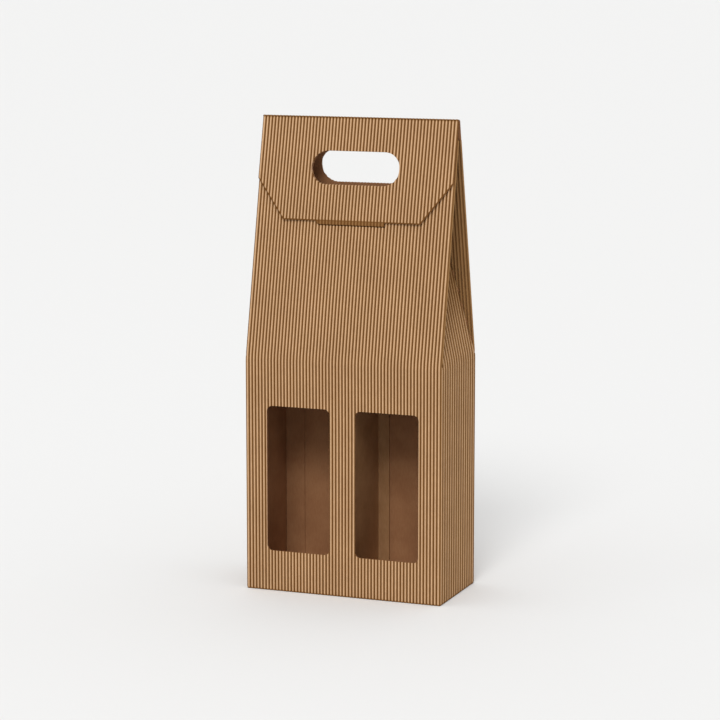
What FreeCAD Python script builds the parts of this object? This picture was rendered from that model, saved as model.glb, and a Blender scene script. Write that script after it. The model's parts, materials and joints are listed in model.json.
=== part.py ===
"""Two-bottle carrier box, folded from one sheet of single-face corrugated kraft board.

Frame: origin at the middle of the base, +X along the width, -Y towards the front
windows, +Z up. Millimetres.

A rectangular tube with two windows in front stands below a crease. Above it the front
and back panels lean together to a ridge, and the side panels fold inward as gussets.
The back panel runs over the ridge and comes down the front as a closure flap, whose
tongue tucks into a slit. A hand hole goes through flap, front and back.
"""
import FreeCAD
import Part
import math
import os

Vector = FreeCAD.Vector
doc = FreeCAD.newDocument("carrier_box")

# Driving dimensions
SIZES = (
    ("width", 180.0),
    ("depth", 90.0),
    ("tall", 410.0),
    ("crease_height", 205.0),
    ("liner", 0.5),
    ("flute", 1.0),
    ("rib_pitch", 2.96),
    ("layer_gap", 0.3),
    ("ridge_gap", 1.0),
    ("gusset_drop", 18.0),
    ("window_wide", 58.0),
    ("window_tall", 127.4),
    ("window_sill", 35.6),
    ("window_round", 5.0),
    ("post_wide", 23.2),
    ("grip_wide", 80.0),
    ("grip_tall", 28.6),
    ("grip_drop", 43.3),
    ("flap_tall", 88.2),
    ("flap_shoulder", 52.5),
    ("flap_foot", 125.0),
    ("tongue_wide", 60.0),
    ("tongue_thick", 0.8),
    ("tongue_lead", 3.1),
    ("tongue_deep", 12.0),
    ("slit_spare", 0.5),
    ("seam_wide", 18.0),
    ("seam_thick", 1.0),
    ("base_side_long", 44.0),
    ("base_back_long", 78.0),
    ("divider_tall", 192.0),
    ("divider_flange", 10.0),
    ("divider_clear", 0.4),
)
sizes = doc.addObject("Spreadsheet::Sheet", "sizes")
for row, (name, value) in enumerate(SIZES, start=1):
    sizes.set("A%d" % row, name)
    sizes.set("B%d" % row, str(value))
    sizes.setAlias("B%d" % row, name)
doc.recompute()


def size(name):
    return float(sizes.get(name))


# Share of one rib's pitch taken by each of its two slopes, its flat crest has the rest
SLOPE_SHARE = 0.32

board = size("liner") + size("flute")
half_wide = size("width") / 2
half_deep = size("depth") / 2
rise = size("tall") - size("crease_height")
# The panels lean by this much from the crease to the ridge, the gussets by as much
lean = half_deep - size("ridge_gap") / 2 - board
lean_cell = "(sizes.depth / 2 - sizes.ridge_gap / 2 - sizes.liner - sizes.flute)"
rise_cell = "(sizes.tall - sizes.crease_height)"
board_cell = "(sizes.liner + sizes.flute)"
# Half sizes of the tube to the bottom of the valleys, and to the inside of the liner
valley_x = half_wide - size("flute")
valley_y = half_deep - size("flute")
inner_x = half_wide - board
inner_y = half_deep - board


def rib_row(start, end, crest, valley):
    """Points of a row of ribs from start to end along u, their height along v."""
    count = max(1, round(abs(end - start) / size("rib_pitch")))
    pitch = (end - start) / count
    slope = pitch * SLOPE_SHARE
    points = [(start, valley)]
    for rib in range(count):
        low = start + rib * pitch
        high = low + pitch
        points.append((low + slope, crest))
        points.append((high - slope, crest))
        points.append((high, valley))
    return points


def flat_face(corners):
    return Part.Face(Part.makePolygon(corners + [corners[0]]))


def plan_profile(name, outline, level, hole=None):
    """A level face from x, y points, which an extrusion turns into a board."""
    face = flat_face([Vector(x, y, level) for x, y in outline])
    if hole:
        face = face.cut(flat_face([Vector(x, y, level) for x, y in hole])).Faces[0]
    feature = doc.addObject("Part::Feature", name)
    feature.Shape = face
    return feature


def upright_profile(name, corners):
    """An upright face from points in space."""
    feature = doc.addObject("Part::Feature", name)
    feature.Shape = flat_face([Vector(x, y, z) for x, y, z in corners])
    return feature


def extrusion(name, base, run):
    """Extrude a profile by a vector whose parts are expressions or plain zeros."""
    solid = doc.addObject("Part::Extrusion", name)
    solid.Base = base
    solid.DirMode = "Custom"
    solid.Solid = True
    solid.LengthFwd = 0
    solid.Dir = Vector(0, 0, 1)
    for axis, expression in zip("xyz", run):
        solid.setExpression("Dir.%s" % axis, expression)
    return solid


def box(name, lengths, corner):
    solid = doc.addObject("Part::Box", name)
    for key, expression in zip(("Length", "Width", "Height"), lengths):
        solid.setExpression(key, expression)
    for axis, expression in zip("xyz", corner):
        solid.setExpression("Placement.Base.%s" % axis, expression)
    return solid


def cylinder(name, radius, height, centre, turn):
    solid = doc.addObject("Part::Cylinder", name)
    solid.setExpression("Radius", radius)
    solid.setExpression("Height", height)
    solid.Placement = FreeCAD.Placement(Vector(0, 0, 0), turn)
    for axis, expression in zip("xyz", centre):
        solid.setExpression("Placement.Base.%s" % axis, expression)
    return solid


def fuse(name, shapes):
    solid = doc.addObject("Part::MultiFuse", name)
    solid.Refine = False
    solid.Shapes = shapes
    return solid


def cut(name, base, tool):
    solid = doc.addObject("Part::Cut", name)
    solid.Refine = False
    solid.Base = base
    solid.Tool = tool
    return solid


def common(name, shapes):
    solid = doc.addObject("Part::MultiCommon", name)
    solid.Refine = False
    solid.Shapes = shapes
    return solid


def mirrored(name, source, normal):
    solid = doc.addObject("Part::Mirroring", name)
    solid.Source = source
    solid.Normal = normal
    return solid


# Lower tube: four ribbed walls round a plain inside
front_ribs = rib_row(-valley_x, valley_x, -half_deep, -valley_y)
right_ribs = [(v, u) for u, v in rib_row(-valley_y, valley_y, half_wide, valley_x)]
back_ribs = [(-u, -v) for u, v in front_ribs]
left_ribs = [(-x, -y) for x, y in right_ribs]
outline = front_ribs + right_ribs[1:] + back_ribs[1:] + left_ribs[1:-1]
inside = [(-inner_x, -inner_y), (inner_x, -inner_y), (inner_x, inner_y), (-inner_x, inner_y)]
tube_profile = plan_profile("tube_profile", outline, 0.0, inside)
tube = extrusion("tube", tube_profile, ("0", "0", "sizes.crease_height"))

# Front and back gable panels, leaning in from the crease to the ridge
crease = size("crease_height")
panel_outline = front_ribs + [(valley_x, -inner_y), (-valley_x, -inner_y)]
front_profile = plan_profile("front_profile", panel_outline, crease)
under_fold = "((%s - %s - sizes.layer_gap) / %s)" % (rise_cell, board_cell, rise_cell)
front_run = ("0", "%s * %s" % (lean_cell, under_fold), "%s * %s" % (rise_cell, under_fold))
front_gable = extrusion("front_gable", front_profile, front_run)
back_outline = [(x, -y) for x, y in panel_outline]
back_profile = plan_profile("back_profile", back_outline, crease)
back_gable = extrusion("back_gable", back_profile, ("0", "-" + lean_cell, rise_cell))

# Gussets: a centre triangle that leans inward, and a flank behind each gable panel
gusset_share = "((%s - sizes.gusset_drop) / %s)" % (rise_cell, rise_cell)
gusset_rise = "%s * %s" % (rise_cell, gusset_share)
gusset_lean = "%s * %s" % (lean_cell, gusset_share)
centre_outline = right_ribs + [(inner_x, inner_y), (inner_x, -inner_y)]
centre_profile = plan_profile("centre_profile", centre_outline, crease)
centre_sheet = extrusion("centre_sheet", centre_profile, ("-" + gusset_lean, "0", gusset_rise))

flank_inner = -inner_y + size("layer_gap")
flank_valley = flank_inner + size("liner")
flank_crest = flank_inner + board
flank_end = valley_x - lean - board
flank_ribs = rib_row(valley_x - size("liner"), flank_end, flank_crest, flank_valley)
nose = [(valley_x, flank_valley), (valley_x, -valley_y), (inner_x, -valley_y)]
flank_outline = nose + [(inner_x, flank_inner), (flank_end, flank_inner)] + flank_ribs[::-1]
flank_profile = plan_profile("flank_profile", flank_outline, crease)
flank_sheet = extrusion("flank_sheet", flank_profile, ("0", gusset_lean, gusset_rise))

# The wedge between the two slanting creases of one gusset, as wide as it needs to be
tip = valley_x - flank_valley
reach = tip - flank_end + 2 * lean
wedge_outline = [(tip, 0), (tip - reach, reach), (tip - reach, -reach)]
wedge_profile = plan_profile("wedge_profile", wedge_outline, crease)
wedge_run = ("-2 * " + lean_cell, "0", rise_cell)
wedge = extrusion("wedge", wedge_profile, wedge_run)
gusset_centre = common("gusset_centre", [centre_sheet, wedge])
front_flank = cut("front_flank", flank_sheet, wedge)
back_flank = mirrored("back_flank", front_flank, Vector(0, 1, 0))
right_gusset = fuse("right_gusset", [gusset_centre, front_flank, back_flank])
left_gusset = mirrored("left_gusset", right_gusset, Vector(1, 0, 0))

# Hinge line of the closure flap, in the middle of its board
hinge_z = size("tall") - board / 2
slant = lean / rise
hinge_y = -size("ridge_gap") / 2 - board - slant * board / 2 - size("layer_gap") - board / 2
slant_cell = "(%s / %s)" % (lean_cell, rise_cell)
hinge_y_cell = "(-sizes.ridge_gap / 2 - sizes.layer_gap - %s * 3 / 2 - %s * %s / 2)" % (
    board_cell, slant_cell, board_cell)

# Ridge fold: the back panel bends forward over the top of the front panel
ridge_front_cell = "(%s + %s / 2 + sizes.layer_gap)" % (hinge_y_cell, board_cell)
ridge_fold = box(
    "ridge_fold",
    ("sizes.width - 2 * sizes.flute",
     "sizes.ridge_gap / 2 + %s / 2 - %s" % (board_cell, ridge_front_cell),
     board_cell),
    ("sizes.flute - sizes.width / 2", ridge_front_cell, "sizes.tall - " + board_cell))

# Base: four flaps in three layers, and the glued seam inside the back wall
base_front = box(
    "base_front",
    ("sizes.width - 2 * %s - 2 * sizes.layer_gap" % board_cell,
     "sizes.depth - %s - sizes.flute - sizes.layer_gap" % board_cell,
     board_cell),
    ("%s + sizes.layer_gap - sizes.width / 2" % board_cell,
     "sizes.flute - sizes.depth / 2",
     "0"))
base_back = box(
    "base_back",
    ("sizes.width - 2 * %s - 2 * sizes.layer_gap" % board_cell,
     "sizes.base_back_long",
     board_cell),
    ("%s + sizes.layer_gap - sizes.width / 2" % board_cell,
     "sizes.depth / 2 - sizes.flute - sizes.base_back_long",
     "%s + sizes.layer_gap" % board_cell))
base_right = box(
    "base_right",
    ("sizes.base_side_long",
     "sizes.depth - 2 * %s - 2 * sizes.layer_gap" % board_cell,
     board_cell),
    ("sizes.width / 2 - sizes.flute - sizes.base_side_long",
     "%s + sizes.layer_gap - sizes.depth / 2" % board_cell,
     "2 * (%s + sizes.layer_gap)" % board_cell))
base_left = mirrored("base_left", base_right, Vector(1, 0, 0))
base_top_cell = "(3 * %s + 3 * sizes.layer_gap)" % board_cell
seam = box(
    "seam",
    ("sizes.seam_wide",
     "sizes.seam_thick + sizes.liner / 2",
     "sizes.crease_height - %s - sizes.layer_gap" % base_top_cell),
    ("%s - sizes.liner / 2 - sizes.width / 2" % board_cell,
     "sizes.depth / 2 - %s - sizes.seam_thick" % board_cell,
     base_top_cell))

# Hand hole, a stadium on an axis along Y
along_y = FreeCAD.Rotation(Vector(1, 0, 0), -90)
grip_z = "(sizes.tall - sizes.grip_drop)"
grip_middle = box(
    "grip_middle",
    ("sizes.grip_wide - sizes.grip_tall", "sizes.depth", "sizes.grip_tall"),
    ("(sizes.grip_tall - sizes.grip_wide) / 2", "-sizes.depth / 2",
     grip_z + " - sizes.grip_tall / 2"))
grip_ends = [
    cylinder(
        "grip_" + side, "sizes.grip_tall / 2", "sizes.depth",
        (sign + "(sizes.grip_wide - sizes.grip_tall) / 2", "-sizes.depth / 2", grip_z),
        along_y)
    for side, sign in (("left", "-"), ("right", ""))
]
grip = fuse("grip", [grip_middle] + grip_ends)


def window(name, low_x):
    """A window cutter through the front wall with rounded corners."""
    block = box(
        name + "_block",
        ("sizes.window_wide", "4 * " + board_cell, "sizes.window_tall"),
        (low_x, "-sizes.depth / 2 - 2 * " + board_cell, "sizes.window_sill"))
    doc.recompute()
    corners = [
        (number, size("window_round"), size("window_round"))
        for number, edge in enumerate(block.Shape.Edges, start=1)
        if abs(edge.tangentAt(edge.FirstParameter).y) > 0.5
    ]
    rounded = doc.addObject("Part::Fillet", name)
    rounded.Base = block
    rounded.Edges = corners
    return rounded


window_left = window("window_left", "-sizes.post_wide / 2 - sizes.window_wide")
window_right = window("window_right", "sizes.post_wide / 2")

# Closure flap: a ribbed board in front of the front panel, with its lower corners cut off
flap_foot_z = size("tall") - size("flap_tall")
flap_shoulder_z = size("tall") - size("flap_shoulder")
flap_back = -size("ridge_gap") / 2 - board - slant * size("flap_tall") - size("layer_gap")
flap_shift = flap_back - board + half_deep
flap_outline = [(x, y + flap_shift) for x, y in front_ribs]
flap_outline += [(valley_x, flap_back), (-valley_x, flap_back)]
flap_profile = plan_profile("flap_profile", flap_outline, flap_foot_z)
flap_rise_cell = "(sizes.flap_tall - %s / 2)" % board_cell
flap_run = ("0", "%s * %s" % (slant_cell, flap_rise_cell), flap_rise_cell)
flap_board = extrusion("flap_board", flap_profile, flap_run)

# The crushed fold at the flap's top, eight flats round the hinge line
FLATS = 8
bead_points = []
for flat in range(FLATS):
    turn = math.pi * (2 * flat + 1) / FLATS
    out = board / 2 / math.cos(math.pi / FLATS)
    bead_points.append((-valley_x, hinge_y + out * math.cos(turn), hinge_z + out * math.sin(turn)))
bead_profile = upright_profile("bead_profile", bead_points)
flap_bead = extrusion("flap_bead", bead_profile, ("sizes.width - 2 * sizes.flute", "0", "0"))

# The cut runs from the flap's edge at the shoulder to the corner of its foot, and past both
past = 2 * board
cut_slope = (flap_shoulder_z - flap_foot_z) / (half_wide - size("flap_foot") / 2)
corner_points = [
    (half_wide + past, -half_deep, flap_shoulder_z + past * cut_slope),
    (size("flap_foot") / 2 - past / cut_slope, -half_deep, flap_foot_z - past),
    (half_wide + past, -half_deep, flap_foot_z - past),
]
corner_profile = upright_profile("corner_profile", corner_points)
corner_right = extrusion("corner_right", corner_profile, ("0", "sizes.depth / 2", "0"))
corner_left = mirrored("corner_left", corner_right, Vector(1, 0, 0))

# Tongue: a crushed strip below the flap's edge that turns in through the slit, square to
# the line from the hinge, so that it leaves the slit as the flap swings
thick = size("tongue_thick")
tongue_z = flap_foot_z - size("tongue_lead")
tongue_back = flap_back - slant * size("tongue_lead")
slope_length = (1 + slant ** 2) ** 0.5
down_in = (1 / slope_length, -slant / slope_length)
up_slope = (slant / slope_length, 1 / slope_length)


def beyond(point, direction, distance):
    return (point[0] + direction[0] * distance, point[1] + direction[1] * distance)


tongue_knee = (tongue_back - thick, tongue_z)
tongue_tip = beyond(tongue_knee, down_in, size("tongue_deep") + thick)
tongue_top = beyond(tongue_tip, up_slope, thick)
tongue_bend = beyond(tongue_top, down_in, -size("tongue_deep"))
overlap = board
tongue_root = (flap_back + slant * overlap, flap_foot_z + overlap)
tongue_side = [tongue_knee, tongue_tip, tongue_top, tongue_bend, tongue_root]
tongue_side += [(tongue_root[0] - thick, tongue_root[1])]
tongue_points = [(-size("tongue_wide") / 2, y, z) for y, z in tongue_side]
tongue_profile = upright_profile("tongue_profile", tongue_points)
tongue = extrusion("tongue", tongue_profile, ("sizes.tongue_wide", "0", "0"))

# Slit in the front panel: the tongue's section and swing, with a gap above and below
slit_z_cell = "(sizes.tall - sizes.flap_tall - sizes.tongue_lead)"
slit_above_cell = "(sizes.tongue_thick + sizes.layer_gap)"
slit_below_cell = "(%s * (%s + sizes.layer_gap + sizes.tongue_thick)" % (slant_cell, board_cell)
slit_below_cell += " + sizes.tongue_deep ^ 2 / (2 * sizes.flap_tall) + sizes.layer_gap)"
slit = box(
    "slit",
    ("sizes.tongue_wide + 2 * sizes.slit_spare",
     "6 * " + board_cell,
     "%s + %s" % (slit_above_cell, slit_below_cell)),
    ("-sizes.tongue_wide / 2 - sizes.slit_spare",
     "-%s * (sizes.flap_tall + sizes.tongue_lead) - 3 * %s" % (slant_cell, board_cell),
     "%s - %s" % (slit_z_cell, slit_below_cell)))

# Divider: one folded sheet, a wall between the bottles with a flange at each end
divider_z_cell = "2 * (%s + sizes.layer_gap)" % board_cell
divider_half_cell = "(sizes.depth / 2 - %s - sizes.divider_clear)" % board_cell
divider_wall = box(
    "divider_wall",
    (board_cell, "2 * " + divider_half_cell, "sizes.divider_tall"),
    ("-%s / 2" % board_cell, "-" + divider_half_cell, divider_z_cell))
flange_lengths = ("sizes.divider_flange + " + board_cell, board_cell, "sizes.divider_tall")
divider_front = box(
    "divider_front", flange_lengths,
    ("-%s / 2 - sizes.divider_flange" % board_cell, "-" + divider_half_cell, divider_z_cell))
divider_back = box(
    "divider_back", flange_lengths,
    ("-%s / 2" % board_cell, "%s - %s" % (divider_half_cell, board_cell), divider_z_cell))

# The three pieces
cut_tube = cut("cut_tube", tube, fuse("windows", [window_left, window_right]))
cut_front = cut("cut_front", front_gable, fuse("front_holes", [grip, slit]))
cut_back = cut("cut_back", back_gable, grip)
carton = fuse(
    "carton",
    [cut_tube, cut_front, cut_back, right_gusset, left_gusset, ridge_fold,
     base_front, base_back, base_right, base_left, seam])
flap_sheet = fuse("flap_sheet", [flap_board, flap_bead, tongue])
flap_holes = fuse("flap_holes", [grip, corner_left, corner_right])
closure_flap = cut("closure_flap", flap_sheet, flap_holes)
divider = fuse("divider", [divider_wall, divider_front, divider_back])
doc.recompute()

for item in doc.Objects:
    if "Invalid" in item.State or "Error" in item.State:
        raise RuntimeError("failed object " + item.Name)

pieces = (carton, closure_flap, divider)
for piece in pieces:
    shape = piece.Shape
    if shape.isNull() or not shape.isValid() or len(shape.Solids) != 1:
        raise RuntimeError("bad solid " + piece.Name)

os.makedirs("parts", exist_ok=True)
for piece in pieces:
    piece.Shape.exportStep(os.path.join("parts", piece.Label + ".step"))
    bounds = piece.Shape.BoundBox
    print(piece.Label, "volume", round(piece.Shape.Volume), "faces", len(piece.Shape.Faces),
          "x", round(bounds.XMin, 2), round(bounds.XMax, 2),
          "y", round(bounds.YMin, 2), round(bounds.YMax, 2),
          "z", round(bounds.ZMin, 2), round(bounds.ZMax, 2))
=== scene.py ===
"""Looks of the two-bottle carrier box: fluted kraft board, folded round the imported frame."""
import json
import math

import bpy
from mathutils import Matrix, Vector, noise


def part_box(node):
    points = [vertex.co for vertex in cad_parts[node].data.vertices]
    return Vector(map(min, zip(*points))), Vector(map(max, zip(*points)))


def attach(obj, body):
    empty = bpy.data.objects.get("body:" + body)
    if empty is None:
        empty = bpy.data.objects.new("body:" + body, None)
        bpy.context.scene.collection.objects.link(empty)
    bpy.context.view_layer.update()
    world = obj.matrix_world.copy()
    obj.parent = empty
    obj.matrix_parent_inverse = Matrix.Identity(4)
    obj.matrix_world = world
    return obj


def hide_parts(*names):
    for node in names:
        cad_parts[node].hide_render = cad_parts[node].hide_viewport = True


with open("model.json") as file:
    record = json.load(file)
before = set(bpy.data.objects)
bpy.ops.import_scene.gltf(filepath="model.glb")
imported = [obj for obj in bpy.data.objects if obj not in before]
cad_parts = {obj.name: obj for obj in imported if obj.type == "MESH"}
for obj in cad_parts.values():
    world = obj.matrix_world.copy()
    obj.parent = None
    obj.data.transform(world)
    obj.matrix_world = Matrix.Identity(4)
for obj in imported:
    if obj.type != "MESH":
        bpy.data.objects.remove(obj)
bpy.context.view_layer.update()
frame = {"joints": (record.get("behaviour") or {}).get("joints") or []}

# Sizes of the folded sheet, in millimetres
MM = 0.001
carton_low, carton_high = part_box("carton")
WIDE = (carton_high[0] - carton_low[0]) / MM
DEEP = (carton_high[1] - carton_low[1]) / MM
TALL = (carton_high[2] - carton_low[2]) / MM
CREASE = 205.0
LINER = 0.5
FLUTE = 1.0
BOARD = LINER + FLUTE
PAPER = 0.22
LAYER_GAP = 0.3
RIDGE_GAP = 1.0
GUSSET_DROP = 18.0
RIB_PITCH = 2.96

# Half sizes to the bottom of the valleys, where the fluted sheet is glued to the liner
HALF_X = WIDE / 2 - FLUTE
HALF_Y = DEEP / 2 - FLUTE
SIDE_LONG = 2 * HALF_Y
RISE = TALL - CREASE
LEAN = DEEP / 2 - RIDGE_GAP / 2 - BOARD
TILT = math.atan2(LEAN, RISE)
SLOPE_LONG = math.hypot(RISE, LEAN)
UP_Z = RISE / SLOPE_LONG
UP_Y = LEAN / SLOPE_LONG
HINGE = Vector(frame["joints"][0]["pos_m"]) / MM
FRONT_PITCH = 2 * HALF_X / round(2 * HALF_X / RIB_PITCH)
SIDE_PITCH = SIDE_LONG / round(SIDE_LONG / RIB_PITCH)

# Windows, hand hole, flap, tongue and slit
WINDOW_SILL = 35.6
WINDOW_TOP = 163.0
WINDOW_WIDE = 58.0
WINDOW_ROUND = 5.0
POST_WIDE = 23.2
GRIP_HALF = 40.0
GRIP_ROUND = 14.3
GRIP_Z = TALL - 43.3
FLAP_FOOT_Z = TALL - 88.2
FLAP_SHOULDER_Z = TALL - 52.5
FLAP_FOOT_HALF = 62.5
TONGUE_HALF = 30.0
TONGUE_LEAD = 3.1
TONGUE_DEEP = 11.0
SLIT_HALF = 30.5
SLIT_TALL = 1.8
SLIT_ROUND = 0.4
SLIT_ABOVE_LEAD = 1.0
SLIT_TOP_Z = FLAP_FOOT_Z - TONGUE_LEAD + SLIT_ABOVE_LEAD
SLIT_FOOT_Z = SLIT_TOP_Z - SLIT_TALL

# Points on the flat sheet: columns along s, rows along v, and turns round a hole's corner
COLUMNS_PER_RIB = 8
CORNER_TURNS = (8, 20, 35, 52, 70, 90)
COLUMN_MARGIN = 0.3
ROW_MARGIN = 0.35
SAME = 1e-4
ROUNDING = 1e-6
DIGITS = 4


def smooth(low, high, value):
    """0 below low, 1 above high, and a soft step between."""
    share = min(1.0, max(0.0, (value - low) / (high - low)))
    return share * share * (3 - 2 * share)


def constant(value):
    """An edge at the same v all along s."""
    return lambda s: value


def flat(value):
    """An offset or a tone that is the same all over the sheet."""
    return lambda s, v: value


class RoundedHole:
    """A rectangle with rounded corners, in millimetres on the flat sheet."""

    def __init__(self, low_s, high_s, low_v, high_v, radius):
        self.low_s = low_s
        self.high_s = high_s
        self.low_v = low_v
        self.high_v = high_v
        self.radius = radius

    def edges(self, s):
        """The hole's lower and upper edge along v at s."""
        inside = min(s - self.low_s, self.high_s - s)
        inset = 0.0
        if inside < self.radius:
            across = self.radius - max(0.0, inside)
            inset = self.radius - math.sqrt(max(0.0, self.radius ** 2 - across ** 2))
        return self.low_v + inset, self.high_v - inset

    def stops(self):
        """Places along s where the outline needs a column of points."""
        found = [self.low_s, self.high_s]
        for turn in CORNER_TURNS:
            step = self.radius * (1 - math.cos(math.radians(turn)))
            found += [self.low_s + step, self.high_s - step]
        return found


class Span:
    """A stretch of the flat sheet along s, with its lower and upper edge as functions."""

    def __init__(self, low_s, high_s, foot, head):
        self.low_s = low_s
        self.high_s = high_s
        self.foot = foot
        self.head = head


def columns_between(low, high, pitch_start, pitch, per_rib, stops):
    """Columns along s on the flutes' own spacing, with the outline's stops put in."""
    step = pitch / per_rib
    first = math.ceil((low - pitch_start) / step - ROUNDING)
    last = math.floor((high - pitch_start) / step + ROUNDING)
    values = [pitch_start + step * index for index in range(first, last + 1)]
    fixed = sorted(set([low, high] + [s for s in stops if low <= s <= high]))
    margin = step * COLUMN_MARGIN
    values = [s for s in values if all(abs(s - stop) > margin for stop in fixed)]
    merged = []
    for s in sorted(values + fixed):
        if not merged or s - merged[-1] > SAME:
            merged.append(s)
    return merged


def without(stretches, low, high):
    """The stretches along v, less the part between low and high."""
    cut = []
    for start, end in stretches:
        if low > start and high < end:
            cut += [(start, low), (high, end)]
        else:
            cut.append((start, end))
    return cut


def stretches_at(s, strip, spans, holes):
    """Where there is board along v at s, on the side where the strip lies."""
    middle = (strip[0] + strip[1]) / 2
    span = next(each for each in spans if each.low_s <= middle <= each.high_s)
    found = [(span.foot(s), span.head(s))]
    for hole in holes:
        if hole.low_s < middle < hole.high_s:
            found = without(found, *hole.edges(s))
    return found


def column_rows(columns, strips, spans, holes, rows, extra):
    """For each column its rows along v: all edges there, and the rows clear of them."""
    marks = {}
    for strip in strips:
        for s in strip:
            for stretch in stretches_at(s, strip, spans, holes):
                marks.setdefault(s, []).extend(stretch)
    found = {}
    for s in columns:
        wanted = list(rows) + (extra(s) if extra else [])
        kept = [v for v in wanted if all(abs(v - mark) > ROW_MARGIN for mark in marks[s])]
        found[s] = sorted(set(round(v, DIGITS) for v in kept + marks[s]))
    return found


def zip_up(left, left_rows, right, right_rows):
    """Triangles of (s, v) corners between two columns, from the foot up."""
    i = 0
    j = 0
    while i < len(left_rows) - 1 or j < len(right_rows) - 1:
        base = [(left, left_rows[i]), (right, right_rows[j])]
        next_left = left_rows[i + 1] if i < len(left_rows) - 1 else math.inf
        next_right = right_rows[j + 1] if j < len(right_rows) - 1 else math.inf
        if next_left <= next_right:
            i += 1
            yield base + [(left, next_left)]
        else:
            j += 1
            yield base + [(right, next_right)]


def strip_sheet(spans, holes, columns, rows, extra=None):
    """Triangles over the flat sheet: returns (s, v) points and index triples."""
    strips = list(zip(columns[:-1], columns[1:]))
    ladder = column_rows(columns, strips, spans, holes, rows, extra)

    def rows_within(s, stretch):
        return [v for v in ladder[s] if stretch[0] - SAME <= v <= stretch[1] + SAME]

    index_of = {}
    triangles = []
    for strip in strips:
        left, right = strip
        left_stretches = stretches_at(left, strip, spans, holes)
        right_stretches = stretches_at(right, strip, spans, holes)
        for one, two in zip(left_stretches, right_stretches):
            for corners in zip_up(left, rows_within(left, one), right, rows_within(right, two)):
                keys = [(round(s, DIGITS), round(v, DIGITS)) for s, v in corners]
                triple = tuple(index_of.setdefault(key, len(index_of)) for key in keys)
                if len(set(triple)) == 3:
                    triangles.append(triple)
    return list(index_of), triangles


def faces_inward(points, triangles, place):
    """Whether the triangles' normals point against the sheet's outward offset."""
    a, b, c = [place(*points[index], 0.0) for index in triangles[0]]
    outward = place(*points[triangles[0][0]], 1.0) - a
    return (b - a).cross(c - a).dot(outward) < 0


# Sheets whose tone doesn't matter, and the angles up to which a mesh shades smoothly
PLAIN_TONE = 0.5
FLUTE_ANGLE = 50
LINER_ANGLE = 35


class Shell:
    """Gathers closed sheets of board into one mesh, with a tone from valley to crest."""

    def __init__(self):
        self.verts = []
        self.faces = []
        self.crest = []

    def add(self, points, triangles, place, top, bottom, tone=flat(PLAIN_TONE)):
        """A closed sheet between the offsets top and bottom from the folded surface."""
        if faces_inward(points, triangles, place):
            triangles = [(a, c, b) for a, b, c in triangles]
        start = len(self.verts)
        under = start + len(points)
        for offset in (top, bottom):
            for s, v in points:
                self.verts.append(place(s, v, offset(s, v)) * MM)
                self.crest.append(tone(s, v))
        edges = {}
        for a, b, c in triangles:
            self.faces.append((start + a, start + b, start + c))
            self.faces.append((under + a, under + c, under + b))
            edges.update(dict.fromkeys([(a, b), (b, c), (c, a)]))
        for a, b in edges:
            if (b, a) not in edges:
                self.faces.append((start + b, start + a, under + a, under + b))

    def finish(self, name, material, smooth_angle):
        mesh = bpy.data.meshes.new(name)
        mesh.from_pydata([tuple(v) for v in self.verts], [], self.faces)
        crest = mesh.attributes.new("crest", "FLOAT", "POINT")
        crest.data.foreach_set("value", self.crest)
        mesh.validate()
        mesh.update()
        piece = bpy.data.objects.new(name, mesh)
        bpy.context.scene.collection.objects.link(piece)
        mesh.materials.append(material)
        mesh.shade_smooth()
        mesh.set_sharp_from_angle(angle=math.radians(smooth_angle))
        return piece


# Flutes: a wave across the sheet, slightly uneven in height
WOBBLE = 0.05
WOBBLE_ACROSS = 0.35
WOBBLE_ALONG = 0.02


def flute_wave(s, start, pitch):
    """0 in a valley and 1 on a crest."""
    return (1 - math.cos(2 * math.pi * (s - start) / pitch)) / 2


def wobble(s, v, seed):
    """Small unevenness of one flute: its height varies along and across the board."""
    place = Vector((s * WOBBLE_ACROSS, v * WOBBLE_ALONG, seed))
    return 1 - WOBBLE + WOBBLE * noise.noise(place)


class Panel:
    """A panel of board: how it is folded, and where its flutes lie, how tall and how brown."""

    def __init__(self, place, height, shade, start, pitch, seed):
        self.place = place
        self.height = height
        self.shade = shade
        self.start = start
        self.pitch = pitch
        self.seed = seed

    def top(self, s, v):
        """The fluted sheet's outer face, above its foot in the valleys."""
        wave = flute_wave(s, self.start, self.pitch)
        return FLUTE * wave * self.height(s, v) * wobble(s, v, self.seed)

    def bottom(self, s, v):
        return self.top(s, v) - PAPER

    def tone(self, s, v):
        return self.shade(flute_wave(s, self.start, self.pitch), s, v)

    def add_to(self, flutes, liner, spans, holes, rows, extra=None):
        """Adds the fluted sheet to one shell, and the flat liner under it to another."""
        low = spans[0].low_s
        high = spans[-1].high_s
        stops = [stop for hole in holes for stop in hole.stops()]
        for span in spans:
            stops += [span.low_s, span.high_s]
        fine = columns_between(low, high, self.start, self.pitch, COLUMNS_PER_RIB, stops)
        points, triangles = strip_sheet(spans, holes, fine, rows, extra)
        flutes.add(points, triangles, self.place, self.top, self.bottom, self.tone)
        coarse = columns_between(low, high, self.start, self.pitch, 1, stops)
        points, triangles = strip_sheet(spans, holes, coarse, rows, extra)
        liner.add(points, triangles, self.place, flat(-PAPER), flat(-LINER))


# Folds. Each place function takes s, v on the flat sheet and an offset outward. The bows
# are whole between two heights: from the floor for BOW_IN, above the crease for BOW_OUT.
BEND = 3.5
BOW_IN = 0.4
BOW_IN_WHOLE_FROM = 120.0
BOW_IN_WHOLE_TO = 150.0
BOW_OUT = 1.2
BOW_OUT_WHOLE_FROM = 60.0
BOW_OUT_WHOLE_TO = 120.0
RIDGE_STRAIGHT = 2.4
RIDGE_RADIUS = 2.05
RIDGE_LEVEL = 2.6
fold_start = CREASE + SLOPE_LONG - RIDGE_STRAIGHT
ridge_arc = RIDGE_RADIUS * (math.pi / 2 - TILT)


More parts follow.
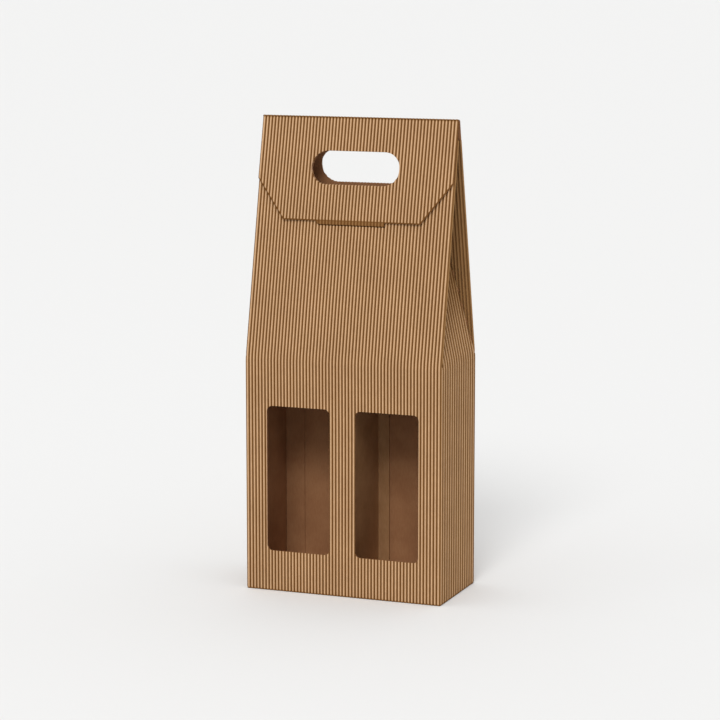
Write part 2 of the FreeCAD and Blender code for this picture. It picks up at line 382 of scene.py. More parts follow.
def front_back_line(v):
    """How far in and how high the line of the front or back is, and its outward normal."""
    length = v - CREASE
    if length < -BEND:
        return 0.0, v, (1.0, 0.0)
    if length > BEND:
        return UP_Y * length, CREASE + UP_Z * length, (math.cos(TILT), math.sin(TILT))
    # a parabola that meets both straight runs
    share = (length + BEND) / (2 * BEND)
    inward = UP_Y * (length + BEND) ** 2 / (4 * BEND)
    height = CREASE + length * (1 - (1 - UP_Z) * share / 2)
    angle = TILT * share
    return inward, height, (math.cos(angle), math.sin(angle))


def bulge(s, v):
    """The front and back bow slightly: out above the crease, and in below it."""
    across = max(0.0, 1 - (s / HALF_X) ** 2)
    low = smooth(0, BOW_IN_WHOLE_FROM, v) * (1 - smooth(BOW_IN_WHOLE_TO, CREASE, v))
    high = smooth(CREASE, CREASE + BOW_OUT_WHOLE_FROM, v)
    high *= 1 - smooth(CREASE + BOW_OUT_WHOLE_TO, CREASE + SLOPE_LONG, v)
    return across * (BOW_OUT * high - BOW_IN * low)


def place_front(s, v, offset):
    inward, height, normal = front_back_line(v)
    out = offset + bulge(s, v)
    return Vector((s, -HALF_Y + inward - out * normal[0], height + out * normal[1]))


def place_back(s, v, offset):
    if v > fold_start:
        return place_ridge(-s, v - fold_start, offset)
    inward, height, normal = front_back_line(v)
    out = offset + bulge(s, v)
    return Vector((-s, HALF_Y - inward + out * normal[0], height + out * normal[1]))


def place_ridge(x, run, offset):
    """The back's line turns forward at the ridge and runs level to the hinge line."""
    turn_start = math.pi / 2 + TILT
    inward, height, _ = front_back_line(fold_start)
    centre_y = HALF_Y - inward - RIDGE_RADIUS * math.sin(turn_start)
    centre_z = height + RIDGE_RADIUS * math.cos(turn_start)
    angle = min(math.pi, turn_start + run / RIDGE_RADIUS)
    out_y = math.sin(angle)
    out_z = -math.cos(angle)
    line_y = centre_y + RIDGE_RADIUS * out_y - max(0.0, run - ridge_arc)
    line_z = centre_z + RIDGE_RADIUS * out_z
    return Vector((x, line_y + out_y * offset, line_z + out_z * offset))


# Gussets: s runs from the front corner to the back, and deep is how far the gable leans in
NOSE = FLUTE + LAYER_GAP
CORNER_SOFT = 0.7
CORNER_TURN = 90.0
FOLD_FROM = 0.3
FOLD_TO = 1.5


def side_path(s, deep):
    """Plan of a folded side: how far in from its face, and y."""
    if s <= NOSE:
        return 0.0, -HALF_Y + deep + s
    if s <= NOSE + deep:
        return s - NOSE, -HALF_Y + deep + NOSE
    if s <= SIDE_LONG - NOSE - deep:
        return deep, -HALF_Y + s
    if s <= SIDE_LONG - NOSE:
        return SIDE_LONG - NOSE - s, HALF_Y - deep - NOSE
    return 0.0, HALF_Y - deep - (SIDE_LONG - s)


def side_normal(s, deep):
    """The outward normal in plan, turned softly at each upright or slanting crease."""
    corners = (NOSE, NOSE + deep, SIDE_LONG - NOSE - deep, SIDE_LONG - NOSE)
    turns = (CORNER_TURN, -CORNER_TURN, -CORNER_TURN, CORNER_TURN)
    weight = smooth(FOLD_FROM, FOLD_TO, deep)
    angle = 0.0
    for corner, turn in zip(corners, turns):
        angle += turn * smooth(corner - CORNER_SOFT, corner + CORNER_SOFT, s) * weight
    return math.radians(angle)


def place_side(s, v, offset, sign):
    """A side panel: sign 1 is the right side and -1 the left."""
    deep, height, _ = front_back_line(v)
    inward, y = side_path(s, deep)
    angle = side_normal(s, deep)
    tilt = TILT * smooth(CREASE - BEND, CREASE + BEND, v)
    centre = math.cos(angle)
    flank = math.sin(angle)
    x = HALF_X - inward + offset * centre * math.cos(tilt * abs(centre))
    y = y + offset * flank * math.cos(tilt * abs(flank))
    z = height + offset * math.sin(tilt) * (centre ** 2 - abs(flank))
    return Vector((sign * x, y, z))


# How much of the flutes' height is left at a fold, and how far from it they are whole
CREASE_LEFT = 0.85
CREASE_SPREAD = 3.0
FOOT_LEFT = 0.45
FOOT_SPREAD = 2.0
SLANT_LEFT = 0.12
SLANT_SPREAD = 1.5
RIDGE_LEFT = 0.4
RIDGE_HEIGHT_FROM = -3.0
RIDGE_HEIGHT_TO = 0.5


def crush(distance, left, spread):
    return left + (1 - left) * smooth(0.0, spread, abs(distance))


def wall_height(s, v):
    """Flutes are crushed at the level crease and at the foot."""
    return crush(v - CREASE, CREASE_LEFT, CREASE_SPREAD) * crush(v, FOOT_LEFT, FOOT_SPREAD)


def back_height(s, v):
    """The back's flutes are also pressed over the ridge."""
    over = smooth(fold_start + RIDGE_HEIGHT_FROM, fold_start + RIDGE_HEIGHT_TO, v)
    return wall_height(s, v) * (1 - (1 - RIDGE_LEFT) * over)


def side_height(s, v):
    """The sides' flutes are also crushed along both slanting creases."""
    if v <= CREASE:
        return wall_height(s, v)
    deep = front_back_line(v)[0]
    near = min(abs(s - NOSE - deep), abs(SIDE_LONG - NOSE - deep - s))
    return wall_height(s, v) * crush(near, SLANT_LEFT, SLANT_SPREAD)


# Tones, from 0 in a valley to 1 on a crest. Folds are pressed and browner; the dark line at the
# foot is partly painted contact shadow, and the gusset's darkening is painted shade
FOOT_TONE = 0.3
FOOT_TONE_FROM = 0.5
FOOT_TONE_TO = 1.8
RIDGE_TONE = 0.3
RIDGE_TONE_SPREAD = 1.5
BROWNER = 0.42
PALER = 0.18
# Deep in the gusset: the flanks' flat, dim tone and the middle's darkening towards the apex are
# painted shade of the recess
FLANK_LOW = 0.3
FLANK_HIGH = 0.56
GUSSET_PAINTED_SHADE = 0.42
GUSSET_PAINTED_SHADE_DEEP = 18.0


def plain_shade(wave, s, v):
    return wave


def front_shade(wave, s, v):
    """The fold at the foot is darker: partly the pressed fold, partly painted contact shadow
    along the floor.
    """
    return wave * (FOOT_TONE + (1 - FOOT_TONE) * smooth(FOOT_TONE_FROM, FOOT_TONE_TO, v))


def back_shade(wave, s, v):
    """The pressed fold at the ridge is browner too."""
    over = smooth(fold_start - RIDGE_TONE_SPREAD, fold_start + RIDGE_TONE_SPREAD, v)
    return front_shade(wave, s, v) * (1 - (1 - RIDGE_TONE) * over)


def side_shade(wave, s, v):
    """Every other flute is browner, so that the side reads coarser than the front, as in the
    photograph. Deep in the gusset the flanks take one flat, dim tone with lifted valleys, and the
    middle darkens towards the apex: both are painted shade of the recess."""
    deep = front_back_line(v)[0]
    if v > CREASE and min(s, SIDE_LONG - s) < NOSE + deep:
        return FLANK_LOW + (FLANK_HIGH - FLANK_LOW) * wave
    if int(s / SIDE_PITCH) % 2:
        wave *= BROWNER
    else:
        wave = PALER + (1 - PALER) * wave
    return front_shade(wave, s, v) * (1 - GUSSET_PAINTED_SHADE * smooth(0.0, GUSSET_PAINTED_SHADE_DEEP, deep))


# Openings on the flat sheet
def slope_v(z):
    """Length along the leaning panel of a height on it."""
    return CREASE + (z - CREASE) / UP_Z


grip_v = slope_v(GRIP_Z)
grip_rise = GRIP_ROUND / UP_Z
grip_hole = RoundedHole(-GRIP_HALF, GRIP_HALF, grip_v - grip_rise, grip_v + grip_rise, GRIP_ROUND)
slit_low = slope_v(SLIT_FOOT_Z)
slit_high = slope_v(SLIT_TOP_Z)
slit_hole = RoundedHole(-SLIT_HALF, SLIT_HALF, slit_low, slit_high, SLIT_ROUND)
window_holes = [
    RoundedHole(low, low + WINDOW_WIDE, WINDOW_SILL, WINDOW_TOP, WINDOW_ROUND)
    for low in (-POST_WIDE / 2 - WINDOW_WIDE, POST_WIDE / 2)
]

# Rows of points up the walls: close at the folds, wide between them
FOOT_ROWS = [1.0, 2.0, 6.0]
CREASE_STEPS = (-3.5, -2.2, -1.2, -0.4, 0.4, 1.2, 2.2, 3.5)
BEND_SHARES = (0.0, 0.2, 0.4, 0.6, 0.8, 1.0)
tube_rows = [30.0, 60.0, 90.0, 120.0, 150.0, 175.0, 192.0]
gable_rows = [CREASE + step for step in (14.0, 26.0, 200.0)]
gable_rows += [CREASE + 45.0 + 20.0 * index for index in range(8)]
crease_rows = [CREASE + step for step in CREASE_STEPS]
wall_rows = FOOT_ROWS + tube_rows + crease_rows + gable_rows
ridge_rows = [fold_start + ridge_arc * share for share in BEND_SHARES]

front_flutes = Shell()
back_flutes = Shell()
side_flutes = Shell()
base_flutes = Shell()
carton_liner = Shell()

# Front panel, up to just under the ridge fold
EDGE_GAP = 0.3
FRONT_SEED = 1.0
front_top = slope_v(TALL - BOARD - LAYER_GAP) - EDGE_GAP
front_spans = [Span(-HALF_X, HALF_X, constant(EDGE_GAP), constant(front_top))]
front = Panel(place_front, wall_height, front_shade, -HALF_X, FRONT_PITCH, FRONT_SEED)
front_holes = window_holes + [grip_hole, slit_hole]
front.add_to(front_flutes, carton_liner, front_spans, front_holes, wall_rows)

# Back panel, on over the ridge to the hinge line
BACK_SEED = 2.0
back_top = fold_start + ridge_arc + RIDGE_LEVEL
back_spans = [Span(-HALF_X, HALF_X, constant(EDGE_GAP), constant(back_top))]
back = Panel(place_back, back_height, back_shade, -HALF_X, FRONT_PITCH, BACK_SEED)
back.add_to(back_flutes, carton_liner, back_spans, [grip_hole], wall_rows + ridge_rows)

# Sides and their gussets
SIDE_SEED = 3.0
SLANT_STEPS = (-7.5, -3.5, 0.0, 3.5, 7.5)
SLANT_LOWEST = 5.0
SLANT_HIGHEST = 1.0
gusset_top = slope_v(TALL - GUSSET_DROP)


def gusset_rows(s):
    """Extra points where a flute meets the slanting crease."""
    deep = min(s, SIDE_LONG - s) - NOSE
    crossing = CREASE + deep / LEAN * SLOPE_LONG
    low = CREASE + SLANT_LOWEST
    high = gusset_top - SLANT_HIGHEST
    return [crossing + step for step in SLANT_STEPS if low < crossing + step < high]


def add_side(sign):
    def place(s, v, offset):
        return place_side(s, v, offset, sign)
    side = Panel(place, side_height, side_shade, 0.0, SIDE_PITCH, SIDE_SEED + sign)
    spans = [Span(0.0, SIDE_LONG, constant(EDGE_GAP), constant(gusset_top))]
    side.add_to(side_flutes, carton_liner, spans, [], wall_rows, gusset_rows)


add_side(1)
add_side(-1)

# Base flaps, flutes down: each is level, with its root inside the foot of its wall
BASE_SEED = 6.0
BASE_ROWS = [1.5, 4.0, 15.0, 35.0, 55.0, 75.0]
BASE_ROOT = 0.6
BASE_LAST_ROW = 2.0
BASE_LEFT = 0.4
BASE_SPREAD = 3.0
BASE_FRONT_LONG = SIDE_LONG - 1.0
BASE_BACK_LONG = 78.0
BASE_SIDE_LONG = 44.0
layer = BOARD + LAYER_GAP
base_half = WIDE / 2 - BOARD - LAYER_GAP
side_half = DEEP / 2 - BOARD - LAYER_GAP


def base_height(s, v):
    return crush(v, BASE_LEFT, BASE_SPREAD)


def add_base(floor_gap, half_s, long, flute_start, pitch, turn, seed):
    """A base flap: s along its wall, v away from it, at a gap above the floor."""
    def place(s, v, offset):
        return turn(Vector((s, v, floor_gap + FLUTE - offset)))
    panel = Panel(place, base_height, plain_shade, flute_start, pitch, seed)
    spans = [Span(-half_s, half_s, constant(BASE_ROOT), constant(long))]
    rows = [row for row in BASE_ROWS if row < long - BASE_LAST_ROW]
    panel.add_to(base_flutes, carton_liner, spans, [], rows)


add_base(0.0, base_half, BASE_FRONT_LONG, -HALF_X, FRONT_PITCH,
         lambda p: Vector((-p.x, p.y - HALF_Y, p.z)), BASE_SEED)
add_base(layer, base_half, BASE_BACK_LONG, -HALF_X, FRONT_PITCH,
         lambda p: Vector((p.x, HALF_Y - p.y, p.z)), BASE_SEED + 1)
add_base(2 * layer, side_half, BASE_SIDE_LONG, -HALF_Y, SIDE_PITCH,
         lambda p: Vector((HALF_X - p.y, -p.x, p.z)), BASE_SEED + 2)
add_base(2 * layer, side_half, BASE_SIDE_LONG, -HALF_Y, SIDE_PITCH,
         lambda p: Vector((p.y - HALF_X, p.x, p.z)), BASE_SEED + 3)

# The glued seam: the end of the left side, pressed flat on the inside of the back
SEAM_START = 0.3
SEAM_WIDE = 18.0
SEAM_THICK = 1.0
SEAM_GLUE = 0.02
SEAM_TAPER = 0.4
SEAM_DROP = 2.0
seam_foot = 3 * layer
seam_columns = [SEAM_START, 2.0, 5.0, 9.0, 13.0, SEAM_WIDE]


def seam_low(s):
    return seam_foot + SEAM_TAPER * s


def seam_high(s):
    return CREASE - SEAM_DROP - SEAM_TAPER * s


def place_seam(s, v, offset):
    return Vector((-HALF_X + LINER + s, DEEP / 2 - BOARD - offset, v))


seam_spans = [Span(SEAM_START, SEAM_WIDE, seam_low, seam_high)]
seam_points, seam_triangles = strip_sheet(seam_spans, [], seam_columns, FOOT_ROWS + tube_rows)
carton_liner.add(seam_points, seam_triangles, place_seam, flat(SEAM_THICK), flat(SEAM_GLUE))

# Closure flap: s across, v along the slope from the hinge line, negative downwards
UP = Vector((0, UP_Y, UP_Z))
OUT = Vector((0, -UP_Z, UP_Y))
BOARD_MIDDLE = (FLUTE - LINER) / 2
KNEE_RADIUS = 0.8
KNEE_GAP = 0.3
KNEE_TURNS = (0, 15, 30, 45, 60, 75, 90)
LIFT_MIDDLE = 0.3
LIFT_CORNERS = 0.9
DIAGONAL_NEAR = 0.6
TAPER = 3.0
TONGUE_CORNER = 6.0
TONGUE_CORNER_DEEP = 4.0
FLAP_TOP = -0.1


def flap_v(z):
    return (z - HINGE.z) / UP_Z


foot_v = flap_v(FLAP_FOOT_Z)
shoulder_v = flap_v(FLAP_SHOULDER_Z)
lead_v = flap_v(FLAP_FOOT_Z - TONGUE_LEAD)
knee_v = lead_v + KNEE_RADIUS + KNEE_GAP
knee_arc = KNEE_RADIUS * math.pi / 2
tongue_v = knee_v - knee_arc - TONGUE_DEEP + KNEE_RADIUS


def flap_lift(s, v):
    """The free lower edge stands a little off the panel behind it."""
    down = smooth(0.0, -foot_v, -v)
    return down * (LIFT_MIDDLE + LIFT_CORNERS * smooth(TONGUE_HALF, FLAP_FOOT_HALF, abs(s)))


def place_flap(s, v, offset):
    """Flat down to the knee, where the tongue turns back into the slit."""
    run = min(0.0, v - knee_v)
    slope = max(v, knee_v)
    bow = bulge(s, slope_v(HINGE.z) + slope) + flap_lift(s, slope)
    angle = min(math.pi / 2, -run / KNEE_RADIUS)
    beyond = max(0.0, -run - knee_arc)
    line = HINGE + UP * slope + OUT * (bow - BOARD_MIDDLE)
    line += Vector((s, 0, 0))
    drop = KNEE_RADIUS * math.sin(angle)
    inward = KNEE_RADIUS * (1 - math.cos(angle)) + beyond
    line += -UP * drop - OUT * inward
    normal = OUT * math.cos(angle) - UP * math.sin(angle)
    return line + normal * offset


def diagonal(s):
    """The flap's edge where its lower corner is cut off."""
    share = (HALF_X + FLUTE - abs(s)) / (HALF_X + FLUTE - FLAP_FOOT_HALF)
    return shoulder_v + (foot_v - shoulder_v) * min(1.0, share)


def tongue_lead(s):
    """The short slant at the tongue's left root."""
    return foot_v + (lead_v - foot_v) * (s + TONGUE_HALF + TAPER) / TAPER


def tongue_end(s):
    inside = TONGUE_HALF - abs(s)
    return tongue_v + TONGUE_CORNER_DEEP * (1 - smooth(0.0, TONGUE_CORNER, inside))


def from_cut_edge(s, v):
    """Distance of a point of the flap from its lower cut edges."""
    if abs(s) <= FLAP_FOOT_HALF:
        return v - foot_v
    return (v - diagonal(s)) * DIAGONAL_NEAR


# Pressed places of the flap: its cut edges, the tongue and the fold at its top. The tongue and
# the top fold are browner, and the dark band along the cut edges is painted shadow
ROOT_LOW = 0.2
ROOT_HIGH = 1.6
ROOT_SPREAD = 3.5
CUT_LEFT = 0.35
CUT_SPREAD = 1.4
CUT_SHADOW_FROM = 0.6
CUT_SHADOW_TO = 1.2
TONGUE_LEFT = 0.28
TONGUE_TONE = 0.42
TOP_LEFT = 0.4
TOP_SPREAD = 2.5
TOP_TONE = 0.35
TOP_TONE_FROM = 0.2
TOP_TONE_TO = 1.6


def on_tongue(s, v):
    """Share of a point in the tongue and its pressed root, from 0 to 1."""
    above = smooth(foot_v - ROOT_LOW, foot_v + ROOT_HIGH, v)
    return (1 - smooth(TONGUE_HALF, TONGUE_HALF + ROOT_SPREAD, abs(s))) * (1 - above)


def flap_height(s, v):
    edge = crush(max(0.0, from_cut_edge(s, v)), CUT_LEFT, CUT_SPREAD)
    pressed = on_tongue(s, v)
    left = edge * (1 - pressed) + TONGUE_LEFT * pressed
    return left * crush(v, TOP_LEFT, TOP_SPREAD)


def flap_shade(wave, s, v):
    # the dark band along the cut edges is painted shadow
    edge = smooth(CUT_SHADOW_FROM, CUT_SHADOW_TO, from_cut_edge(s, v))
    pressed = on_tongue(s, v)
    fold = TOP_TONE + (1 - TOP_TONE) * smooth(TOP_TONE_FROM, TOP_TONE_TO, -v)
    return wave * (edge * (1 - pressed) + TONGUE_TONE * pressed) * fold


# The flap's outline and rows
FLAP_SEED = 11.0
CUT_EDGE_STEPS = (0.6, 1.2, 1.9)
LEAD_STEP = 1.5
TONGUE_STEPS = (3.5, 7.0)
flap_head = constant(FLAP_TOP)
flap_foot = constant(foot_v)
flap_spans = [
    Span(-HALF_X, -FLAP_FOOT_HALF, diagonal, flap_head),
    Span(-FLAP_FOOT_HALF, -TONGUE_HALF - TAPER, flap_foot, flap_head),
    Span(-TONGUE_HALF - TAPER, -TONGUE_HALF, tongue_lead, flap_head),
    Span(-TONGUE_HALF, TONGUE_HALF, tongue_end, flap_head),
    Span(TONGUE_HALF, FLAP_FOOT_HALF, flap_foot, flap_head),
    Span(FLAP_FOOT_HALF, HALF_X, diagonal, flap_head),
]
flap_grip = RoundedHole(-GRIP_HALF, GRIP_HALF, flap_v(GRIP_Z - GRIP_ROUND),
                        flap_v(GRIP_Z + GRIP_ROUND), GRIP_ROUND)
flap_rows = [-1.0, -2.0, -4.0, -10.0]
flap_rows += [-20.0 - 12.0 * index for index in range(6)]
flap_rows += [foot_v, foot_v - LEAD_STEP]
flap_rows += [knee_v - KNEE_RADIUS * math.radians(turn) for turn in KNEE_TURNS]
flap_rows += [knee_v - knee_arc - step for step in TONGUE_STEPS]


def cut_edge_rows(s):
    """Extra points close above the cut edges."""
    low = diagonal(s) if abs(s) > FLAP_FOOT_HALF else foot_v
    return [low + step for step in CUT_EDGE_STEPS]


flap_flutes = Shell()
flap_liner = Shell()
flap = Panel(place_flap, flap_height, flap_shade, -HALF_X, FRONT_PITCH, FLAP_SEED)
flap.add_to(flap_flutes, flap_liner, flap_spans, [flap_grip], flap_rows, cut_edge_rows)

# The crushed fold at the flap's top: a scalloped bead round the hinge line
BEAD_SIDES = 14
BEAD_COLUMNS_PER_RIB = 6
BEAD_RADIUS = 0.45
BEAD_SCALLOP = 0.29
BEAD_TONE = 0.1
BEAD_TONE_RISE = 0.3


def add_bead(shell):
    columns = columns_between(-HALF_X, HALF_X, -HALF_X, FRONT_PITCH, BEAD_COLUMNS_PER_RIB, [])
    start = len(shell.verts)
    sides = range(BEAD_SIDES)
    for s in columns:
        wave = flute_wave(s, -HALF_X, FRONT_PITCH)
        radius = BEAD_RADIUS + BEAD_SCALLOP * wave
        for side in sides:
            angle = 2 * math.pi * side / BEAD_SIDES
            ring = HINGE + Vector((s, radius * math.cos(angle), radius * math.sin(angle)))
            shell.verts.append(ring * MM)
            shell.crest.append(BEAD_TONE + BEAD_TONE_RISE * wave)
    last = start + (len(columns) - 1) * BEAD_SIDES
    for near in range(start, last, BEAD_SIDES):
        far = near + BEAD_SIDES
        for side in sides:
            beside = (side + 1) % BEAD_SIDES
            shell.faces.append((near + side, far + side, far + beside, near + beside))
    shell.faces.append(tuple(start + side for side in sides))
    shell.faces.append(tuple(last + side for side in reversed(sides)))


add_bead(flap_flutes)

# Divider: a Z folded from one plain sheet
DIVIDER_BEND = 1.6
WALL_SHARES = (0.1, 0.3, 0.5, 0.7, 0.9)
divider_low, divider_high = [Vector(corner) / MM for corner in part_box("divider")]
flange_y = divider_high.y - BOARD / 2
flange_x = divider_high.x
flange_long = flange_x - DIVIDER_BEND
wall_long = 2 * (flange_y - DIVIDER_BEND)
divider_arc = DIVIDER_BEND * math.pi / 2
divider_long = 2 * flange_long + 2 * divider_arc + wall_long


def divider_line(s):
    """Plan of the divider's middle line from its front flange, with its direction."""
    if s < flange_long:
        return -flange_x + s, -flange_y, 0.0
    s -= flange_long
    if s < divider_arc:
        angle = s / DIVIDER_BEND
        x = -DIVIDER_BEND + DIVIDER_BEND * math.sin(angle)
        y = -flange_y + DIVIDER_BEND * (1 - math.cos(angle))
        return x, y, angle
    s -= divider_arc
    if s < wall_long:
        return 0.0, -flange_y + DIVIDER_BEND + s, math.pi / 2
    s -= wall_long
    if s < divider_arc:
        angle = s / DIVIDER_BEND
        x = DIVIDER_BEND * (1 - math.cos(angle))
        y = flange_y - DIVIDER_BEND + DIVIDER_BEND * math.sin(angle)
        return x, y, math.pi / 2 - angle
    s -= divider_arc
    return DIVIDER_BEND + s, flange_y, 0.0


def place_divider(s, v, offset):
    x, y, direction = divider_line(s)
    x -= offset * math.sin(direction)
    y += offset * math.cos(direction)
    return Vector((x, y, divider_low.z + v))


second_bend = flange_long + divider_arc + wall_long
divider_columns = [0.0, flange_long / 2]
divider_columns += [flange_long + divider_arc * share for share in BEND_SHARES]
divider_columns += [flange_long + divider_arc + wall_long * share for share in WALL_SHARES]
divider_columns += [second_bend + divider_arc * share for share in BEND_SHARES]
divider_columns += [divider_long - flange_long / 2, divider_long]
divider_tall = divider_high.z - divider_low.z
divider_spans = [Span(0.0, divider_long, constant(0.0), constant(divider_tall))]
divider_rows = FOOT_ROWS[2:] + tube_rows
divider_points, divider_triangles = strip_sheet(divider_spans, [], divider_columns, divider_rows)
divider = Shell()
divider.add(divider_points, divider_triangles, place_divider,
            flat(BOARD / 2), flat(-BOARD / 2))

# Colours and the places of their stops, from the darker to the paler; the flutes' darker colour
# towards the valleys is painted shade between the ribs
CREST = (0.582, 0.371, 0.214)
FLANK = (0.350, 0.193, 0.0765)
VALLEY_PAINTED_SHADE = (0.138, 0.0545, 0.0105)
WHITE = (1.0, 1.0, 1.0)
FLUTE_STOPS = [(0.2, VALLEY_PAINTED_SHADE), (0.52, FLANK), (0.85, CREST)]
LINER_STOPS = [(0.3, (0.319, 0.149, 0.0673)), (0.7, (0.372, 0.181, 0.0841))]
DIVIDER_STOPS = [(0.3, (0.336, 0.173, 0.0752)), (0.7, (0.407, 0.221, 0.102))]
CLOUD_STOPS = [(0.3, (0.91, 0.9, 0.89)), (0.7, WHITE)]
STREAK_STOPS = [(0.3, (0.86, 0.84, 0.82)), (0.65, WHITE)]
SPECK_STOPS = [(0.28, (0.72, 0.68, 0.64)), (0.38, WHITE)]
FLOOR_COLOUR = (0.79, 0.79, 0.785, 1)

# The paper's finish, and the scale and detail of its clouds, fibres and specks
KRAFT_ROUGHNESS = 0.82
FLOOR_ROUGHNESS = 0.9
SPECULAR = 0.15
CLOUD_SCALE = 38.0
CLOUD_DETAIL = 4.0
FIBRE_SCALE = 900.0
FIBRE_DETAIL = 3.0
FIBRE_STRETCH = (1.0, 1.0, 0.22)
SPECK_SCALE = 2600.0
SPECK_DETAIL = 2.0
CLOUD_SHARE = 1.0
STREAK_SHARE = 0.8
SPECK_SHARE = 0.6
BUMP_STRENGTH = 0.25
BUMP_METRES = 0.0001


def shader_nodes(name, roughness):
    material = bpy.data.materials.new(name)
    material.use_nodes = True
    tree = material.node_tree
    shader = tree.nodes["Principled BSDF"]
    shader.inputs["Roughness"].default_value = roughness
    shader.inputs["Specular IOR Level"].default_value = SPECULAR
    return material, tree, shader


def noise_node(tree, scale, detail, stretch=(1, 1, 1)):
    place = tree.nodes.new("ShaderNodeTexCoord")
    mapping = tree.nodes.new("ShaderNodeMapping")
    mapping.inputs["Scale"].default_value = stretch
    texture = tree.nodes.new("ShaderNodeTexNoise")
    texture.inputs["Scale"].default_value = scale
    texture.inputs["Detail"].default_value = detail
    tree.links.new(place.outputs["Object"], mapping.inputs["Vector"])
    tree.links.new(mapping.outputs["Vector"], texture.inputs["Vector"])
    return texture.outputs["Fac"]


def ramp(tree, source, stops):
    node = tree.nodes.new("ShaderNodeValToRGB")
    elements = node.color_ramp.elements
    for element, stop in ((elements[0], stops[0]), (elements[1], stops[-1])):
        element.position = stop[0]
        element.color = (*stop[1], 1)
    for position, colour in stops[1:-1]:
        element = elements.new(position)
        element.color = (*colour, 1)
    tree.links.new(source, node.inputs["Fac"])
    return node.outputs["Color"]


def multiply(tree, factor, first, second):
    node = tree.nodes.new("ShaderNodeMix")
    node.data_type = "RGBA"
    node.blend_type = "MULTIPLY"
    node.inputs["Factor"].default_value = factor
    tree.links.new(first, node.inputs["A"])
    tree.links.new(second, node.inputs["B"])
    return node.outputs["Result"]


def add_bump(tree, shader, source):
    bump = tree.nodes.new("ShaderNodeBump")
    bump.inputs["Strength"].default_value = BUMP_STRENGTH
    bump.inputs["Distance"].default_value = BUMP_METRES
    tree.links.new(source, bump.inputs["Height"])
    tree.links.new(bump.outputs["Normal"], shader.inputs["Normal"])


def kraft(name, stops, by_crest=False):
    """Kraft paper: cloudy brown with fine fibres, by the flutes' tone or by its clouds."""
    material, tree, shader = shader_nodes(name, KRAFT_ROUGHNESS)
    cloud = noise_node(tree, CLOUD_SCALE, CLOUD_DETAIL)
    fibres = noise_node(tree, FIBRE_SCALE, FIBRE_DETAIL, FIBRE_STRETCH)
    specks = noise_node(tree, SPECK_SCALE, SPECK_DETAIL)
    source = cloud
    if by_crest:
        attribute = tree.nodes.new("ShaderNodeAttribute")
        attribute.attribute_name = "crest"
        source = attribute.outputs["Fac"]
    colour = ramp(tree, source, stops)
    colour = multiply(tree, CLOUD_SHARE, colour, ramp(tree, cloud, CLOUD_STOPS))
    colour = multiply(tree, STREAK_SHARE, colour, ramp(tree, fibres, STREAK_STOPS))
    colour = multiply(tree, SPECK_SHARE, colour, ramp(tree, specks, SPECK_STOPS))
    tree.links.new(colour, shader.inputs["Base Color"])
    add_bump(tree, shader, fibres)
    return material


# The pieces, on the bodies they move with
flute_material = kraft("fluted_kraft", FLUTE_STOPS, by_crest=True)
liner_material = kraft("liner_kraft", LINER_STOPS)
divider_material = kraft("divider_kraft", DIVIDER_STOPS)
carton_pieces = [
    front_flutes.finish("front_flutes", flute_material, FLUTE_ANGLE),
    back_flutes.finish("back_flutes", flute_material, FLUTE_ANGLE),
    side_flutes.finish("side_flutes", flute_material, FLUTE_ANGLE),
    base_flutes.finish("base_flutes", flute_material, FLUTE_ANGLE),
    carton_liner.finish("carton_liner", liner_material, LINER_ANGLE),
]
flap_pieces = [
    flap_flutes.finish("flap_flutes", flute_material, FLUTE_ANGLE),
    flap_liner.finish("flap_liner", liner_material, LINER_ANGLE),
]
divider_sheet = divider.finish("divider_sheet", divider_material, LINER_ANGLE)
for piece in carton_pieces:
    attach(piece, "box")
    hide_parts("carton")
for piece in flap_pieces:
    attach(piece, "flap")
    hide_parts("closure_flap")
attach(divider_sheet, "box")
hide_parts("divider")

# Floor and light, with sizes and places in metres
FLOOR_SIZE = 60
FLOOR_PLACE = (0, 20.0, 0)
KEY_STRENGTH = 1.7
KEY_ANGLE = 24
KEY_PLACE = (0.5, -2.6, 2.4)
FILL_WATTS = 3.4
FILL_SIZE = 1.4
FILL_PLACE = (-2.2, -1.6, 1.0)
WORLD_STRENGTH = 0.80

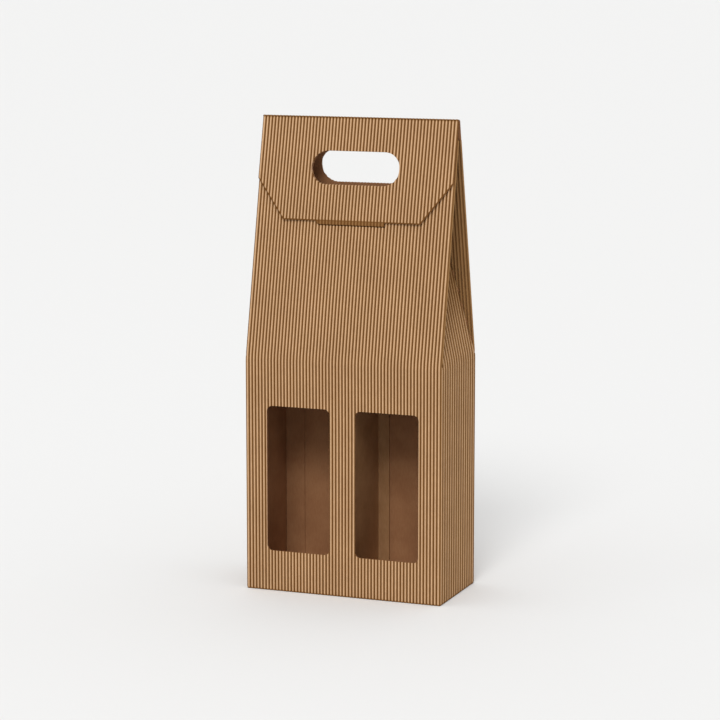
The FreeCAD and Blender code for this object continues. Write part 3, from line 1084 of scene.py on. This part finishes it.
bpy.ops.mesh.primitive_plane_add(size=FLOOR_SIZE, location=FLOOR_PLACE)
floor = bpy.context.object
floor.name = "floor"
floor_material, _, floor_shader = shader_nodes("pale_floor", FLOOR_ROUGHNESS)
floor_shader.inputs["Base Color"].default_value = FLOOR_COLOUR
floor.data.materials.append(floor_material)

box_middle = Vector((0, 0, TALL * MM / 2))


def add_lamp(data, place):
    """A lamp at a place in metres, aimed at the middle of the box."""
    lamp = bpy.data.objects.new(data.name, data)
    lamp.location = place
    aim = box_middle - Vector(place)
    lamp.rotation_euler = aim.to_track_quat("-Z", "Y").to_euler()
    bpy.context.scene.collection.objects.link(lamp)


key = bpy.data.lights.new("key", "SUN")
key.energy = KEY_STRENGTH
key.angle = math.radians(KEY_ANGLE)
add_lamp(key, KEY_PLACE)
fill = bpy.data.lights.new("fill", "AREA")
fill.shape = "DISK"
fill.size = FILL_SIZE
fill.energy = FILL_WATTS
add_lamp(fill, FILL_PLACE)
world = bpy.data.worlds.new("studio")
world.use_nodes = True
background = world.node_tree.nodes["Background"]
background.inputs["Color"].default_value = (1, 1, 1, 1)
background.inputs["Strength"].default_value = WORLD_STRENGTH
bpy.context.scene.world = world
bpy.context.scene.view_settings.view_transform = "Standard"

# Camera fitted to the box in the photograph, which is 720 pixels square
PHOTO = 720.0
AZIMUTH = math.radians(21.24)
ELEVATION = math.radians(8.94)
DISTANCE = 2.216
FOCAL_PIXELS = 2564.0
SHIFT_X_PIXELS = -0.86
SHIFT_Y_PIXELS = -5.69
SENSOR = 36.0
level_share = math.cos(ELEVATION)
to_camera = Vector((math.sin(AZIMUTH) * level_share, -math.cos(AZIMUTH) * level_share,
                    math.sin(ELEVATION)))
camera_data = bpy.data.cameras.new("camera")
camera_data.sensor_width = SENSOR
camera_data.lens = SENSOR * FOCAL_PIXELS / PHOTO
camera_data.shift_x = SHIFT_X_PIXELS / PHOTO
camera_data.shift_y = SHIFT_Y_PIXELS / PHOTO
camera = bpy.data.objects.new("camera", camera_data)
camera.location = box_middle + to_camera * DISTANCE
camera.rotation_euler = to_camera.to_track_quat("Z", "Y").to_euler()
bpy.context.scene.collection.objects.link(camera)
bpy.context.scene.camera = camera
